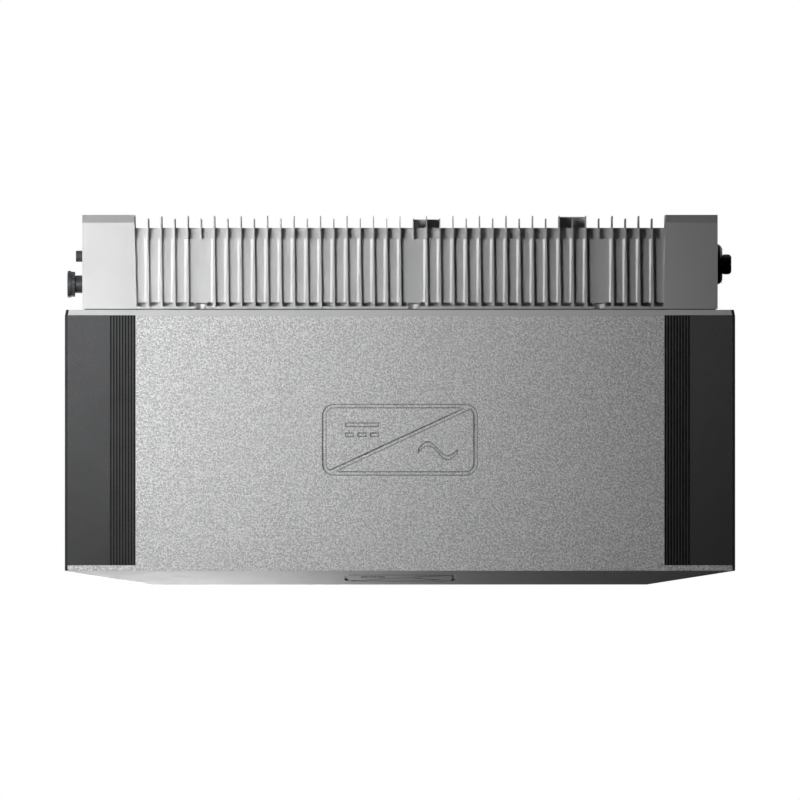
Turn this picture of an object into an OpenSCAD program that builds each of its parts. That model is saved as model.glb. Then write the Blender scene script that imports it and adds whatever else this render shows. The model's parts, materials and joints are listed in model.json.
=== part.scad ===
// Wall-mounted string inverter, millimetres, +Z up, front face towards -Y.
// The origin is the centre of the wall bracket's bolt pattern, on the wall plane.

/* [Front shell] */
// Overall width of the front panel
body_w = 670.6; // [660:0.2:680]
// Height of the front panel
cover_h = 261; // [259:0.5:263]
// Overall depth from the front panel to the wall
total_d = 180; // [178:1:184]
// Depth of the tapering front shell
shell_d = 110; // [108:1:112]
// How far each side runs in towards the wall
side_in = 87.5; // [86:0.5:89]
// How far the underside drops towards the wall
bottom_drop = 14.5; // [13:0.5:15]
// Thickness of the front panel
plate_t = 4; // [3.5:0.5:4.5]
// Thickness of the shell's top and bottom walls
wall_t = 3; // [2.5:0.5:3]
// Depth of the engraved marks
engrave_d = 1.5; // [0.5:0.1:2]

/* [Trim strips] */
// Distance from the centre to a strip's inner edge
strip_in = 264.5; // [262:0.5:266]
// Height of the plain band above and below a strip
strip_band = 5.4; // [5:0.2:8]
// Thickness of a strip
strip_t = 2.6; // [2.4:0.1:2.8]
// Number of grooves in a strip
groove_n = 9; // [5:1:9]
// Distance from groove to groove
groove_pitch = 2.95; // [2.8:0.05:3.1]

/* [Heatsink] */
// Width of the heatsink casting
crown_w = 635.5; // [633:0.5:637]
// Height of the heatsink casting
crown_h = 94; // [93:0.5:96]
// Width of each closed end box
end_w = 52; // [50:0.5:52]
// Number of fins
fin_n = 39; // [39:1:39]
// Distance from fin to fin
fin_pitch = 13.28; // [13.1:0.02:13.3]
// Fin thickness at the root
fin_root = 3.2; // [2.8:0.1:4]
// Fin thickness at the tip
fin_tip = 0.9; // [0.8:0.1:1.6]

/* [Wall bracket] */
// Distance between bolt columns
bolt_dx = 360; // [340:5:380]
// Distance between bolt rows
bolt_dz = 70; // [66:1:74]
// Radius of a wall bolt hole
bolt_r = 4.25; // [3.5:0.25:4.5]

/* [Controls] */
// Radius of the isolator's collar
collar_r = 20.1; // [19:0.1:20.5]
// Width of the isolator's handle
handle_w = 19.5; // [17:0.5:20]
// Length of the isolator's handle
handle_l = 36; // [32:1:38]

/* [Hidden] */
$fn = 48;

eps = 0.5;                       // how far a cutter runs past the face it cuts
bolt_z = 180;                    // bolt pattern's centre above the panel's bottom edge
front_y = -total_d;
shell_back = front_y + shell_d;
half_w = body_w / 2;
slope = atan(bottom_drop / shell_d);

// front panel
edge_h = 6.4;                    // sloping edge along the panel's top
edge_in = 1.6;
cheek_t = 2.8;                   // side cheek, measured along X
groove_w = 1.7;
groove_deep = 2;
mark_w = 156;                    // engraved circuit symbol
mark_h = 72;
mark_z = 131;
mark_stroke = 4.6;
facet_mark_scale = 0.71;         // the smaller symbol on the underside
facet_mark_y = 58;               // from the panel's bottom edge, along the underside

// inner housing: the sealed box behind the shell
box_x = 238;
box_front = front_y + 22;        // -158
box_back = -14;
box_z0 = 24;
box_z1 = cover_h - 1;            // 260
box_t = 4;
mouth_x = 226;                   // opening between the box and the heatsink chamber
mouth_y0 = -146;
mouth_y1 = -38;
gasket_t = 2;
lid_t = 2.5;
lid_y = box_front - gasket_t - lid_t;
tab_z = 254;                     // the lid's tabs, which take the crown screws

// heatsink casting
crown_z0 = cover_h + 1;          // 262
crown_z1 = crown_z0 + crown_h;   // 356
crown_front = front_y + 6;       // -174
crown_back = -20;
crown_x = crown_w / 2;
flange_t = 2.3;
base_t = 4;
chamber_x = 260;
chamber_y = crown_front + 5.5;   // the wall between the fins
chamber_back = -30;
step_y = chamber_y + 7;          // the wall steps back near its top
step_z0 = 332;
step_z1 = 343;
lip_z = 268.5;
recess_y = chamber_y + 14;       // wall under the lip, above the front flange
stub_z = 331.3;                  // underside of a fin that is cut short
chamber_t = 5;                   // wall between the fins, front to back
fin_draft = 0.06;                // how fast a fin thickens towards the wall, per side
foot_w = 1.6;                    // wedge at a fin's root
foot_slope = 0.45;
end_x = crown_x - end_w;         // inner side of an end box, at its top
end_draft = 2.5;
edge_band = 8;                   // sloping edge along an end box's top
fin_mid = (fin_n - 1) / 2;
screw_fins = [4, 20, 34];        // fins cut short above a screw
lug_fins = [20, 31];             // each lug bridges this fin and the two after it
crown_screw_y = crown_front + 3.6;
notch_y = crown_front + 3;
notch_r = 5.9;

// controls and ports on the casting's ends
switch_y = -110;
switch_z = 306.7;
terminal_y = [18, 6, -6, -18];   // the isolator's terminals, from its axis
vent_y = -138;
vent_z = 314.7;
port_y = -104;
port_z = 286.7;

// connectors under the inner housing
plug_y = -42;
pv_x = [78, 108, 148, 178];
battery_x = [-196, -160];
signal_x = -112;
ac_x = -46;
stud_z = 60;

// places inside the box and the chamber
module_z = step_z1 - chamber_t - 9;
board_y = -52;
board_t = 2;
board_z0 = 112;
control_y = -118;
fan_pos = [-190, -60, 72];

steel = "lightsteelblue";
cast = "silver";
dark = "dimgray";
board_green = "darkgreen";

// ---- helpers ----

// points are [y, z], drawn out along X
module prism_x(points, x0, x1) {
    translate([x0, 0, 0]) rotate([90, 0, 90]) linear_extrude(x1 - x0) polygon(points);
}

// points are [x, z], drawn out along Y
module prism_y(points, y0, y1) {
    translate([0, y1, 0]) rotate([90, 0, 0]) linear_extrude(y1 - y0) polygon(points);
}

// points are [x, y], drawn out along Z
module prism_z(points, z0, z1) {
    translate([0, 0, z0]) linear_extrude(z1 - z0) polygon(points);
}

module box(low, high) {
    translate(low) cube(high - low);
}

module rod_x(x0, x1, y, z, r) {
    translate([x0, y, z]) rotate([0, 90, 0]) cylinder(h = x1 - x0, r = r);
}

module rod_y(y0, y1, x, z, r) {
    translate([x, y1, z]) rotate([90, 0, 0]) cylinder(h = y1 - y0, r = r);
}

module rod_z(z0, z1, x, y, r) {
    translate([x, y, z0]) cylinder(h = z1 - z0, r = r);
}

module both_sides() {
    children();
    mirror([1, 0, 0]) children();
}

// a turned piece on the casting's right end, its axis along +X
module on_right(y, z) {
    translate([crown_x, y, z]) rotate([0, 90, 0]) children();
}

// a turned piece on the casting's left end, its axis along -X
module on_left(y, z) {
    translate([-crown_x, y, z]) rotate([0, -90, 0]) children();
}

module turned(points) {
    rotate_extrude($fn = 64) polygon(points);
}

module hex_ring(af, r, h) {
    difference() {
        cylinder(h = h, r = af / sqrt(3), $fn = 6);
        translate([0, 0, -eps]) cylinder(h = h + 2 * eps, r = r);
    }
}

// a row of round bars from point to point, for a wire run
module wire(points, r) {
    for (i = [0 : len(points) - 2]) {
        a = points[i];
        v = points[i + 1] - a;
        l = norm(v);
        translate(a) rotate([0, acos(v[2] / l), atan2(v[1], v[0])]) cylinder(h = l, r = r);
    }
    for (i = [1 : len(points) - 2]) translate(points[i]) sphere(r = r);
}

function bottom_in(y) = wall_t / cos(slope) - (y - front_y) * bottom_drop / shell_d;
function fin_x(i) = (i - fin_mid) * fin_pitch;
function is_screw_fin(i) = len(search(i, screw_fins)) > 0;
function fin_top(i) = crown_z1 - (i % 2 == 1 ? 1 : 3.6);

// ---- the engraved circuit symbol: DC in one corner, AC in the other ----

function corner(cx, cy, r, a0) =
    [for (k = [0 : 8]) [cx + r * cos(a0 + k * 11.25), cy + r * sin(a0 + k * 11.25)]];

function round_box(w, h, r) = concat(
    corner(w / 2 - r, h / 2 - r, r, 0), corner(r - w / 2, h / 2 - r, r, 90),
    corner(r - w / 2, r - h / 2, r, 180), corner(w / 2 - r, r - h / 2, r, 270));

function wave(w, amp, t, n = 28) = concat(
    [for (k = [0 : n]) [w * (k / n - 0.5), amp * sin(360 * k / n) + t / 2]],
    [for (k = [n : -1 : 0]) [w * (k / n - 0.5), amp * sin(360 * k / n) - t / 2]]);

module circuit_symbol() {
    t = mark_stroke;
    difference() {
        polygon(round_box(mark_w, mark_h, 12));
        polygon(round_box(mark_w - 2 * t, mark_h - 2 * t, 12 - t));
    }
    intersection() {
        polygon(round_box(mark_w - t, mark_h - t, 12 - t / 2));
        rotate(atan(mark_h / mark_w)) square([mark_w * 1.2, t], center = true);
    }
    translate([-38, 15]) square([34, t], center = true);
    for (k = [-1 : 1]) translate([-38 + 12.5 * k, 5]) square([9, t], center = true);
    translate([38, -11]) polygon(wave(40, 7, t * 1.15));
}

// ---- front shell ----

module shell_plan(inset) {
    h = half_w - inset;
    translate([0, 0, -bottom_drop - 1])
        linear_extrude(cover_h + bottom_drop + 2)
            polygon([[-h, front_y], [h, front_y], [h - side_in, shell_back], [side_in - h, shell_back]]);
}

// side view of the shell, [y, z]
function shell_side() = [[front_y, 0], [front_y, cover_h - edge_h], [front_y + edge_in, cover_h],
                         [shell_back, cover_h], [shell_back, -bottom_drop]];

module front_cover() {
    color(cast) difference() {
        intersection() {
            prism_x(shell_side(), -half_w, half_w);
            shell_plan(cheek_t);
        }
        prism_x([[front_y + plate_t, bottom_in(front_y + plate_t)],
                 [front_y + plate_t, cover_h - wall_t], [shell_back + eps, cover_h - wall_t],
                 [shell_back + eps, bottom_in(shell_back + eps)]], -half_w - eps, half_w + eps);
        both_sides()
            box([strip_in, front_y - eps, strip_band],
                [half_w + eps, front_y + strip_t, cover_h - strip_band]);
        box([-box_x - 1.5, lid_y - 3, cover_h - wall_t - eps],
            [box_x + 1.5, shell_back + eps, cover_h + eps]);
        for (i = screw_fins) {
            rod_z(cover_h - wall_t - eps, cover_h + eps, fin_x(i), crown_screw_y, 2.2);
            rod_z(cover_h - 1.9, cover_h + eps, fin_x(i), crown_screw_y, 3.7);
        }
        translate([0, front_y + engrave_d, mark_z]) rotate([90, 0, 0])
            linear_extrude(engrave_d + eps) circuit_symbol();
        translate([0, front_y, 0]) rotate([-slope, 0, 0]) translate([0, facet_mark_y, -eps])
            linear_extrude(engrave_d + eps) scale(facet_mark_scale) mirror([0, 1]) circuit_symbol();
    }
}

module trim_strip() {
    gap = 0.15;
    color(dark) difference() {
        intersection() {
            box([strip_in + gap, front_y, strip_band + gap],
                [half_w, front_y + strip_t, cover_h - strip_band - gap]);
            shell_plan(cheek_t);
        }
        for (k = [0 : groove_n - 1]) {
            x = strip_in + 1 + k * groove_pitch;
            box([x - groove_w / 2, front_y - eps, 0], [x + groove_w / 2, front_y + groove_deep, cover_h]);
        }
    }
}

module side_cheek() {
    ribs = 13;
    color(dark) difference() {
        intersection() {
            prism_x(shell_side(), 0, half_w);
            shell_plan(0);
        }
        shell_plan(cheek_t);
        for (k = [0 : ribs - 1]) {
            t = (16 + k * 6.5) / shell_d;
            translate([half_w - side_in * t, front_y + shell_d * t, 0]) rotate(atan(shell_d / -side_in))
                box([-1.1, -0.9, 10], [1.1, 0.9, cover_h - 12]);
        }
    }
}

// joins the back edge of a cheek to the inner housing
module side_rail() {
    y0 = shell_back - 10;
    y1 = shell_back - 2;
    inner = half_w - cheek_t - 0.1;
    color(steel) difference() {
        prism_z([[box_x, y0], [inner - side_in * (y0 - front_y) / shell_d, y0],
                 [inner - side_in * (y1 - front_y) / shell_d, y1], [box_x, y1]], 34, 246);
        for (z = [60 : 40 : 220]) rod_y(y0 - eps, y1 + eps, box_x + 4, z, 2.2);
    }
}

module cover_standoffs() {
    color(steel) for (x = [-185, 0, 185], z = [60, 212])
        rod_y(front_y + plate_t, lid_y, x, z, 5);
}

// ---- heatsink casting ----

function fin_half(i, z) = (fin_root - (fin_root - fin_tip) * (z - crown_z0) / (fin_top(i) - crown_z0)) / 2;

// a fin's outline, [x, z]
function fin_outline(i) = let (x = fin_x(i), z0 = crown_z0 + 1, w = fin_half(i, z0), z1 = fin_top(i))
    [[x - w, z0], [x + w, z0], [x + fin_tip / 2, z1], [x - fin_tip / 2, z1]];

// everything left of a plane through p that leans in by taper up the fin and out by draft to the back
module fin_side(p, taper, draft) {
    reach = 200;
    translate(p) rotate([0, -atan(taper * cos(atan(draft))), -atan(draft)])
        translate([-reach, -reach, -reach]) cube([reach, 2 * reach, 2 * reach]);
}

// the part of a fin in front of the wall between the fins: it thickens towards the wall
module fin_front(i, y0) {
    taper = (fin_root - fin_tip) / 2 / (fin_top(i) - crown_z0);
    start = [fin_half(i, crown_z0) + 0.12, crown_front + 0.5, crown_z0];
    translate([fin_x(i), 0, 0]) intersection() {
        box([-6, y0, lip_z], [6, chamber_y + 1, step_z0]);
        fin_side(start, taper, fin_draft);
        mirror([1, 0, 0]) fin_side(start, taper, fin_draft);
    }
}

// a low wedge along the fin's root, on its left
module fin_foot(i) {
    x = fin_x(i);
    w = foot_w + fin_root / 2;
    prism_z([[x, chamber_y + 1], [x - w - 1 / foot_slope, chamber_y + 1], [x, chamber_y - w * foot_slope]],
            lip_z, step_z0);
}

module fin(i) {
    if (is_screw_fin(i)) {
        difference() {
            prism_y(fin_outline(i), chamber_y - 1.5, crown_back);
            box([fin_x(i) - 3, crown_front, crown_z0], [fin_x(i) + 3, chamber_y + 10, stub_z]);
        }
    } else {
        prism_y(fin_outline(i), crown_front, crown_back);
        fin_front(i, crown_front + 0.5);
        fin_foot(i);
    }
}

module end_box() {
    intersection() {
        prism_y([[end_x - end_draft, crown_z0], [crown_x, crown_z0], [crown_x, crown_z1], [end_x, crown_z1]],
                crown_front, crown_back);
        prism_x([[crown_front, crown_z0], [crown_front, crown_z1 - edge_band], [crown_front + 2.4, crown_z1],
                 [crown_back, crown_z1], [crown_back, crown_z0]], 0, crown_x);
    }
}

module chamber_outside() {
    prism_x([[crown_front, crown_z0], [crown_front, crown_z0 + flange_t], [recess_y, crown_z0 + flange_t],
             [recess_y, lip_z], [chamber_y, lip_z], [chamber_y, step_z0], [step_y, step_z0],
             [step_y, step_z1], [chamber_back, step_z1], [chamber_back, crown_z0 + base_t],
             [crown_back, crown_z0 + base_t], [crown_back, crown_z0]], -end_x, end_x);
}

module chamber_inside() {
    t = chamber_t;
    prism_x([[recess_y + t, crown_z0 + base_t], [recess_y + t, lip_z + t], [chamber_y + t, lip_z + t],
             [chamber_y + t, step_z0 - t], [step_y + t, step_z0 - t], [step_y + t, step_z1 - t],
             [chamber_back - t, step_z1 - t], [chamber_back - t, crown_z0 + base_t]], -chamber_x, chamber_x);
}

// stands in the recess under the lip, round a screw's notch
module notch_boss(x) {
    prism_x([[notch_y, crown_z0 + 1], [notch_y, lip_z], [chamber_y + 1, lip_z], [chamber_y + 1, lip_z + 1],
             [recess_y + 1, lip_z + 1], [recess_y + 1, crown_z0 + 1]], x - notch_r - 0.6, x + notch_r + 0.6);
}

// a round recess in the front flange, where the screwdriver goes in
module screw_notch(x) {
    shoulder = 1.7;
    rod_z(crown_z0 - eps, lip_z - shoulder, x, notch_y, notch_r);
    translate([x, notch_y, lip_z - shoulder]) cylinder(h = shoulder - 0.3, r1 = notch_r, r2 = notch_r - 2.2);
}

module heatsink_housing() {
    color(cast) difference() {
        union() {
            chamber_outside();
            for (i = [0 : fin_n - 1]) fin(i);
            both_sides() end_box();
            for (i = screw_fins) notch_boss(fin_x(i));
            for (i = lug_fins)
                box([fin_x(i), chamber_back + 2, 300], [fin_x(i + 2), chamber_back + 7, fin_top(i) - 0.2]);
        }
        chamber_inside();
        box([-mouth_x, mouth_y0, crown_z0 - eps], [mouth_x, mouth_y1, crown_z0 + base_t + eps]);
        both_sides() {
            box([end_x + 4.5, crown_front + 4, crown_z0 - eps], [crown_x - 4, crown_back - 4, crown_z1 - 4]);
            box([chamber_x - 1, -140, 274], [end_x + 5, -50, 322]);
        }
        for (i = screw_fins) screw_notch(fin_x(i));
        on_right(switch_y, switch_z) translate([0, 0, -6]) cylinder(h = 8, r = 9);
        on_left(vent_y, vent_z) translate([0, 0, -6]) cylinder(h = 8, r = 4.1);
        on_left(port_y, port_z) translate([0, 0, -6]) cylinder(h = 8, r = 7.6);
    }
}

// closes the open bottom of each end box
module end_box_covers() {
    color(steel) both_sides()
        box([end_x + 4.6, crown_front + 4.1, crown_z0], [crown_x - 4.1, crown_back - 4.1, crown_z0 + 2]);
}

// a screw sunk in the shell's top under each round recess of the heatsink's front flange
module crown_screws() {
    color(steel) for (i = screw_fins) {
        rod_z(tab_z - 6, cover_h - 1.9, fin_x(i), crown_screw_y, 1.9);
        difference() {
            rod_z(cover_h - 1.9, cover_h, fin_x(i), crown_screw_y, 3.5);
            translate([fin_x(i), crown_screw_y, cover_h - 1.2]) cylinder(h = 2, r = 1.7, $fn = 6);
        }
    }
}

// a frame round the mouth, with a lip that closes the seam over the shell's top
module crown_gasket() {
    color("black") difference() {
        union() {
            box([-box_x, box_front, box_z1], [box_x, crown_back, crown_z0]);
            box([2 - crown_x, box_front - 6.5, cover_h], [crown_x - 2, box_front + 0.5, crown_z0]);
        }
        box([-mouth_x, mouth_y0, box_z1 - eps], [mouth_x, mouth_y1, crown_z0 + eps]);
    }
}

// ---- sealed inner housing ----

function lid_points() = concat([for (x = [-231, 231], z = [38, 142, 246]) [x, z]],
                               [for (x = [-116, 0, 116], z = [31, 253]) [x, z]]);

module inner_housing() {
    color(cast) difference() {
        union() {
            difference() {
                box([-box_x, box_front, box_z0], [box_x, box_back, box_z1]);
                box([-box_x + box_t, box_front - eps, box_z0 + box_t],
                    [box_x - box_t, box_back - box_t, box_z1 - box_t]);
            }
            for (p = lid_points()) rod_y(box_front, box_front + 11, p[0], p[1], 5);
            both_sides() for (x = [110, 170]) rod_y(-24, box_back - 1, x, 229, 5);
        }
        box([-mouth_x, mouth_y0, box_z1 - box_t - eps], [mouth_x, mouth_y1, box_z1 + eps]);
        for (p = lid_points()) rod_y(box_front - eps, box_front + 9, p[0], p[1], 2.1);
        both_sides() for (x = [110, 170]) rod_y(-23, box_back + eps, x, 229, 2.5);
        for (x = pv_x) rod_z(box_z0 - eps, box_z0 + box_t + eps, x, plug_y, 8);
        for (x = battery_x) rod_z(box_z0 - eps, box_z0 + box_t + eps, x, plug_y, 9);
        rod_z(box_z0 - eps, box_z0 + box_t + eps, ac_x, plug_y, 15);
        rod_z(box_z0 - eps, box_z0 + box_t + eps, signal_x, plug_y, 9);
        rod_x(-box_x - eps, -box_x + box_t + eps, plug_y, stud_z, 3.1);
    }
}

module inner_lid() {
    color(steel) difference() {
        union() {
            box([-box_x, lid_y, box_z0], [box_x, lid_y + lid_t, box_z1]);
            for (i = screw_fins)
                box([fin_x(i) - 8, front_y + plate_t + 1, tab_z - 4], [fin_x(i) + 8, lid_y + 1, tab_z]);
        }
        for (i = screw_fins) rod_z(tab_z - 5, tab_z + 1, fin_x(i), crown_screw_y, 1.95);
        for (p = lid_points()) rod_y(lid_y - eps, lid_y + lid_t + eps, p[0], p[1], 2.2);
        for (x = [-140, 140]) box([x - 60, lid_y - eps, 100], [x + 60, lid_y + 0.8, 172]);
    }
}

module lid_gasket() {
    color("black") difference() {
        box([-box_x, lid_y + lid_t, box_z0], [box_x, box_front, box_z1]);
        box([-mouth_x, lid_y, box_z0 + 12], [mouth_x, box_front + eps, box_z1 - 12]);
        for (p = lid_points()) rod_y(lid_y, box_front + eps, p[0], p[1], 2.2);
    }
}

module lid_screws() {
    color(steel) for (p = lid_points()) {
        rod_y(lid_y, box_front + 8, p[0], p[1], 1.9);
        difference() {
            rod_y(lid_y - 2.2, lid_y, p[0], p[1], 4);
            translate([p[0], lid_y - 0.9, p[1]]) rotate([90, 0, 0]) cylinder(h = 3, r = 1.7, $fn = 6);
        }
    }
}

// ---- wall bracket and hangers ----

module wall_bracket() {
    t = 2.5;
    hook_z = 236;
    bottom = bolt_z - 52;
    color(steel) difference() {
        union() {
            prism_x([[-t, bottom], [-t, hook_z - t], [-9.6, hook_z - t], [-9.6, hook_z + 11],
                     [-9.6 + t, hook_z + 11], [-9.6 + t, hook_z], [0, hook_z], [0, bottom]], -215, 215);
            box([-215, -9, bottom - t], [215, 0, bottom]);
        }
        for (x = [-1, 1], z = [-1, 1])
            rod_y(-t - eps, eps, x * bolt_dx / 2, bolt_z + z * bolt_dz / 2, bolt_r);
        for (x = [-105 : 70 : 105]) {
            box([x - 14, -t - eps, bolt_z - 12], [x + 14, eps, bolt_z + 12]);
            for (s = [-1, 1]) rod_y(-t - eps, eps, x + s * 14, bolt_z, 12);
        }
        box([-70, -10, hook_z + 2], [70, -6, hook_z + 12]);
    }
}

// hooks over the bracket's upper lip
module hanger() {
    t = 2.5;
    lip_y = -6.3;
    color(steel) difference() {
        prism_x([[box_back, 222], [box_back, 252.5], [lip_y + t, 252.5], [lip_y + t, 236], [lip_y, 236],
                 [lip_y, 250], [box_back + t, 250], [box_back + t, 222]], 92, 188);
        for (x = [110, 170]) rod_y(box_back - eps, box_back + t + eps, x, 229, 2.6);
    }
}

module hanger_screws() {
    t = 2.5;
    color(steel) both_sides() for (x = [110, 170]) {
        rod_y(-22, box_back + t, x, 229, 2.4);
        difference() {
            rod_y(box_back + t, box_back + t + 1.8, x, 229, 4.4);
            translate([x, -8, 229]) rotate([90, 0, 0]) cylinder(h = 2.4, r = 1.9, $fn = 6);
        }
    }
}

module lower_bumpers() {
    color("black") for (x = [-170, 170]) {
        rod_y(box_back, -4, x, 52, 11);
        rod_y(-4, 0, x, 52, 15);
    }
}

// ---- direct-current isolator on the right end ----

module dc_switch_collar() {
    color("black") on_right(switch_y, switch_z)
        turned([[4.06, -8], [8.9, -8], [8.9, 0], [collar_r, 0], [collar_r, 0.9], [collar_r - 1.1, 3.2],
                [collar_r - 4.1, 5.3], [4.06, 5.3]]);
}

module dc_switch_nut() {
    color(steel) on_right(switch_y, switch_z) translate([0, 0, -7.4]) hex_ring(24, 8.95, 3.2);
}

module dc_switch_body() {
    color("gainsboro") difference() {
        union() {
            box([crown_x - 40, switch_y - 23, switch_z - 22], [crown_x - 12, switch_y + 23, switch_z + 22]);
            rod_x(crown_x - 12.5, crown_x - 8, switch_y, switch_z, 7.5);
            for (y = terminal_y)
                box([crown_x - 42, switch_y + y - 4, switch_z - 25],
                    [crown_x - 30, switch_y + y + 4, switch_z - 21]);
        }
        rod_x(crown_x - 27, crown_x, switch_y, switch_z, 4.06);
    }
}

module dc_switch_shaft() {
    color(steel) on_right(switch_y, switch_z) translate([0, 0, -26]) cylinder(h = 36, r = 4);
}

module handle_outline(w) {
    l = handle_l - handle_w + w;
    square([w, l - w], center = true);
    for (s = [-1, 1]) translate([0, s * (l - w) / 2]) circle(d = w);
}

module dc_switch_knob() {
    color("black") on_right(switch_y, switch_z) difference() {
        union() {
            translate([0, 0, 5.6]) linear_extrude(7.1) handle_outline(handle_w);
            translate([0, 0, 12.6]) linear_extrude(0.8) handle_outline(handle_w - 1.2);
            translate([0, 0, 13.3]) linear_extrude(0.9) handle_outline(handle_w - 3.2);
        }
        translate([0, 0, 5]) cylinder(h = 5.1, r = 4.02);
        translate([0, -13, 14]) cube([1.6, 8, 1.4], center = true);
    }
}

// ---- vent and communication port on the left end ----

module pressure_vent() {
    color(dark) on_left(vent_y, vent_z) difference() {
        turned([[0, -9], [4, -9], [4, 0], [5.6, 0], [5.6, 6.2], [5, 6.8], [0, 6.8]]);
        for (a = [0 : 45 : 315]) rotate(a) translate([5.7, 0, 1.6]) cylinder(h = 3.2, r = 0.8, $fn = 24);
    }
}

module com_port_socket() {
    color(dark) on_left(port_y, port_z)
        turned([[5.5, -9], [7.5, -9], [7.5, 0], [9, 0], [9, 7.7], [7.8, 7.7], [7.8, 12.4], [5.5, 12.4]]);
}

module com_port_nut() {
    color(steel) on_left(port_y, port_z) translate([0, 0, -7.6]) hex_ring(21, 7.55, 3.2);
}

module com_port_seal() {
    color("black") on_left(port_y, port_z) translate([0, 0, 7.9]) difference() {
        cylinder(h = 0.8, r = 9.2);
        translate([0, 0, -eps]) cylinder(h = 2, r = 8.1);
    }
}

module com_port_cap() {
    ribs = 24;
    color(dark) on_left(port_y, port_z) difference() {
        turned([[8.1, 8.7], [9.3, 8.7], [9.3, 7.9], [12, 7.9], [12.6, 8.5], [12.6, 11.8], [13.5, 12.1],
                [13.5, 15], [13.1, 15.4], [0, 15.4], [0, 12.8], [8.1, 12.8]]);
        for (k = [0 : ribs - 1]) rotate(k * 360 / ribs) translate([12.95, 0, 7])
            cylinder(h = 4.6, r = 0.8, $fn = 16);
    }
}

// ---- connectors under the inner housing ----

module pv_connector(x) {
    translate([x, plug_y, 0]) difference() {
        union() {
            rod_z(box_z0 - 3, box_z0, 0, 0, 11);
            rod_z(box_z0 - 16, box_z0 - 3, 0, 0, 8.4);
            rod_z(box_z0 - 34, box_z0 - 16, 0, 0, 6.2);
            rod_z(box_z0, box_z0 + 14, 0, 0, 7.9);
            both_sides() box([7, -2.2, box_z0 - 15], [9.6, 2.2, box_z0 - 3]);
        }
        rod_z(box_z0 - 35, box_z0 - 18, 0, 0, 3.6);
    }
}

module pv_positive_connectors() {
    color("black") for (k = [0, 2]) pv_connector(pv_x[k]);
}

module pv_negative_connectors() {
    color("black") for (k = [1, 3]) pv_connector(pv_x[k]);
}

module pv_connector_nuts() {
    color(dark) for (x = pv_x) translate([x, plug_y, box_z0 + box_t]) hex_ring(22, 7.95, 5);
}

module battery_connectors() {
    color("orangered") for (x = battery_x) translate([x, plug_y, 0]) difference() {
        union() {
            rod_z(box_z0 - 3, box_z0, 0, 0, 14);
            rod_z(box_z0 - 33, box_z0 - 3, 0, 0, 9.5);
            rod_z(box_z0, box_z0 + 16, 0, 0, 8.9);
        }
        rod_z(box_z0 - 34, box_z0 - 14, 0, 0, 6);
    }
}

module battery_connector_nuts() {
    color(dark) for (x = battery_x) translate([x, plug_y, box_z0 + box_t]) hex_ring(25, 8.95, 5);
}

module ac_connector() {
    color(dark) translate([ac_x, plug_y, 0]) {
        difference() {
            union() {
                rod_z(box_z0 - 4, box_z0, 0, 0, 21);
                rod_z(box_z0 - 31, box_z0 - 4, 0, 0, 17);
                rod_z(box_z0, box_z0 + 16, 0, 0, 14.9);
            }
            rod_z(box_z0 - 32, box_z0 - 10, 0, 0, 14);
        }
        for (a = [0 : 72 : 288]) rotate(a) rod_z(box_z0 - 28, box_z0 - 9, 8, 0, 1.8);
    }
}

module ac_connector_nut() {
    color(dark) translate([ac_x, plug_y, box_z0 + box_t]) hex_ring(40, 14.95, 6);
}

module signal_connector() {
    color(dark) translate([signal_x, plug_y, 0]) difference() {
        union() {
            rod_z(box_z0 - 3, box_z0, 0, 0, 15);
            rod_z(box_z0 - 30, box_z0 - 3, 0, 0, 12);
            rod_z(box_z0, box_z0 + 12, 0, 0, 8.9);
        }
        rod_z(box_z0 - 31, box_z0 - 9, 0, 0, 9.5);
    }
}

module earth_stud() {
    color("gold") {
        rod_x(-box_x - 7.6, -box_x + box_t, plug_y, stud_z, 3);
        rod_x(-box_x - 8.6, -box_x - 7.6, plug_y, stud_z, 2.5);
        rod_x(-box_x - 19, -box_x - 8.6, plug_y, stud_z, 3);
    }
}

module earth_washer() {
    color(steel) difference() {
        rod_x(-box_x - 1.6, -box_x, plug_y, stud_z, 6);
        rod_x(-box_x - 2, -box_x + 1, plug_y, stud_z, 3.1);
    }
}

module earth_nut() {
    color(steel) translate([-box_x - 1.6, plug_y, stud_z]) rotate([0, -90, 0]) hex_ring(10, 3.05, 5);
}

// ---- boards and parts inside ----

module power_board() {
    color(board_green) difference() {
        union() {
            box([-224, board_y, board_z0], [224, board_y + board_t, 250]);
            for (x = [-205 : 41 : 205]) box([x - 6, board_y - 5, 114], [x + 6, board_y, 120]);
        }
        for (x = [-216, 0, 216], z = [126, 243]) rod_y(board_y - eps, board_y + board_t + eps, x, z, 2.2);
    }
}

module board_standoffs() {
    color(steel) for (x = [-216, 0, 216], z = [126, 243]) {
        rod_y(board_y + board_t, box_back - box_t, x, z, 4.5);
        rod_y(board_y - 2, board_y + board_t, x, z, 2);
        rod_y(board_y - 4, board_y - 2, x, z, 3.8);
    }
}

module dc_link_capacitors() {
    color("midnightblue") for (x = [-60 : 34 : 76], z = [146, 182])
        rod_y(board_y - 46, board_y, x, z, 15);
}

module film_capacitors() {
    color("khaki") for (k = [0 : 3]) box([102 + k * 28, board_y - 34, 128], [124 + k * 28, board_y, 170]);
}

module relays() {
    color("whitesmoke") for (k = [0 : 5])
        box([-200 + k * 20, board_y - 22, 132], [-184 + k * 20, board_y, 162]);
}

module emi_chokes() {
    color("darkgoldenrod") for (x = [-188, -136]) difference() {
        rod_y(board_y - 24, board_y, x, 196, 24);
        rod_y(board_y - 25, board_y + eps, x, 196, 10);
    }
}

module boost_inductors() {
    color("slategray") for (x = [16, 90, 164]) box([x - 32, -74, 46], [x + 32, box_back - box_t, 102]);
}

module ac_inductors() {
    color("slategray") for (x = [-124, -56]) box([x - 29, -74, 46], [x + 29, box_back - box_t, 102]);
}

module power_modules() {
    color("darkslategray") for (k = [0 : 5])
        box([-197 + k * 70, -108, module_z], [-153 + k * 70, -66, step_z1 - chamber_t]);
}

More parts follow.
